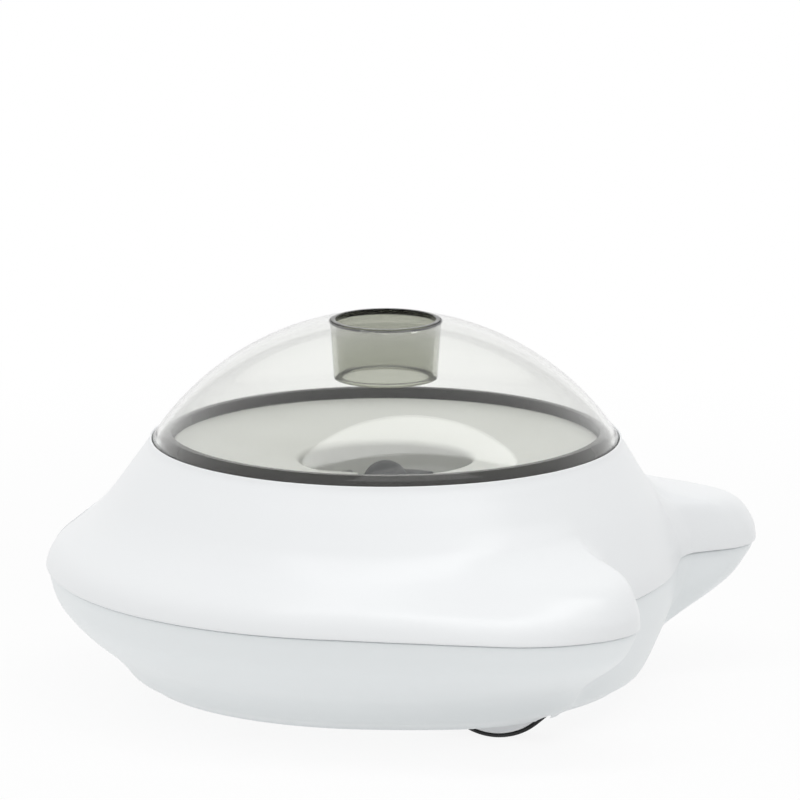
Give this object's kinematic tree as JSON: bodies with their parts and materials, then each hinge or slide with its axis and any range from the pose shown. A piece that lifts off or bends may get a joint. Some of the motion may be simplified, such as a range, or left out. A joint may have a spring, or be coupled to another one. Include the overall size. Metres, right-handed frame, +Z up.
{
  "type": "treat launcher",
  "caption": "Wheeled pet treat launcher with a two-lobed white body, a smoked dome over a treat hopper, a fill neck, a feed rotor, a launch wheel and a sprung outlet flap.",
  "frame": {"origin": "on the floor under the middle of the bounding box", "axes": "+X across the launcher to its left side, +Y backwards to the notch between the rear lobes, +Z up"},
  "size_m": [0.242, 0.2398, 0.1382],
  "materials": {
    "shell_white": "glossy moulded plastic",
    "shell_lower": "glossy moulded plastic, slightly cooler",
    "bowl_grey": "satin moulded plastic",
    "dome_smoked": "clear smoked plastic, polished",
    "neck_smoked": "smoked plastic, polished",
    "mechanism_dark": "moulded plastic with a fine grain",
    "rubber_black": "matt rubber",
    "steel": "plated steel",
    "hub_white": "moulded plastic",
    "circuit_green": "solder mask",
    "battery_wrap": "shrink wrap",
    "button_grey": "satin plastic",
    "lamp_clear": "clear light guide"
  },
  "bodies": {
    "root": {"top_shell": "shell_white", "bottom_shell": "shell_lower", "hopper_bowl": "bowl_grey", "shell_screw_1": "steel", "shell_screw_2": "steel", "shell_screw_3": "steel", "shell_screw_4": "steel", "shell_screw_5": "steel", "shell_screw_6": "steel", "feed_motor": "mechanism_dark", "launch_duct": "mechanism_dark", "launch_motor": "steel", "launch_motor_mount": "mechanism_dark", "flap_pin": "steel", "left_drive_motor": "steel", "right_drive_motor": "steel", "left_motor_clamp": "mechanism_dark", "right_motor_clamp": "mechanism_dark", "caster_cup": "mechanism_dark", "battery_pack": "battery_wrap", "battery_door": "shell_lower", "battery_door_screw": "steel", "main_board": "circuit_green", "board_screw_1": "steel", "board_screw_2": "steel", "board_screw_3": "steel", "board_screw_4": "steel", "speaker": "mechanism_dark", "charge_socket": "steel", "button_board": "circuit_green", "status_lamp": "lamp_clear"},
    "dome": {"dome_cover": "dome_smoked", "fill_neck": "neck_smoked", "dome_seal": "rubber_black"},
    "feeder": {"feed_rotor": "mechanism_dark", "agitator_cone": "mechanism_dark", "feed_shaft": "steel"},
    "launcher": {"launch_wheel": "hub_white", "launch_tyre": "rubber_black", "launch_shaft": "steel"},
    "flap": {"outlet_flap": "mechanism_dark"},
    "left_wheel": {"left_wheel_hub": "hub_white", "left_tyre": "rubber_black", "left_axle": "steel"},
    "right_wheel": {"right_wheel_hub": "hub_white", "right_tyre": "rubber_black", "right_axle": "steel"},
    "caster_swivel": {"caster_fork": "mechanism_dark", "caster_axle": "steel"},
    "caster_roller": {"caster_wheel": "rubber_black"},
    "power_key": {"power_button": "button_grey"}
  },
  "joints": [
    {"name": "dome_lift", "type": "slide", "parent": "root", "child": "dome", "axis": [0, 0, 1], "range_m": [0, 0.06]},
    {"name": "feed_turn", "type": "hinge", "parent": "root", "child": "feeder", "pos_m": [0, 0.00347, 0.07], "axis": [0, 0, 1], "continuous": true},
    {"name": "launch_spin", "type": "hinge", "parent": "root", "child": "launcher", "pos_m": [0, -0.04053, 0.038], "axis": [1, 0, 0], "continuous": true},
    {"name": "flap_swing", "type": "hinge", "parent": "root", "child": "flap", "pos_m": [0, -0.10053, 0.0596], "axis": [-1, 0, 0], "range_deg": [0, 80], "stiffness_Nm_per_rad": 0.0006, "springref_deg": -11.46},
    {"name": "left_wheel_spin", "type": "hinge", "parent": "root", "child": "left_wheel", "pos_m": [0.04875, 0.06047, 0.024], "axis": [1, 0, 0], "continuous": true},
    {"name": "right_wheel_spin", "type": "hinge", "parent": "root", "child": "right_wheel", "pos_m": [-0.04875, 0.06047, 0.024], "axis": [1, 0, 0], "continuous": true},
    {"name": "caster_turn", "type": "hinge", "parent": "root", "child": "caster_swivel", "pos_m": [0, -0.06653, 0.02], "axis": [0, 0, 1], "continuous": true},
    {"name": "caster_roll", "type": "hinge", "parent": "caster_swivel", "child": "caster_roller", "pos_m": [0, -0.06303, 0.008], "axis": [1, 0, 0], "continuous": true},
    {"name": "power_press", "type": "slide", "parent": "root", "child": "power_key", "axis": [0.797, 0, -0.604], "range_m": [0, 0.001], "stiffness_N_per_m": 600, "springref_m": -0.0006}
  ]
}
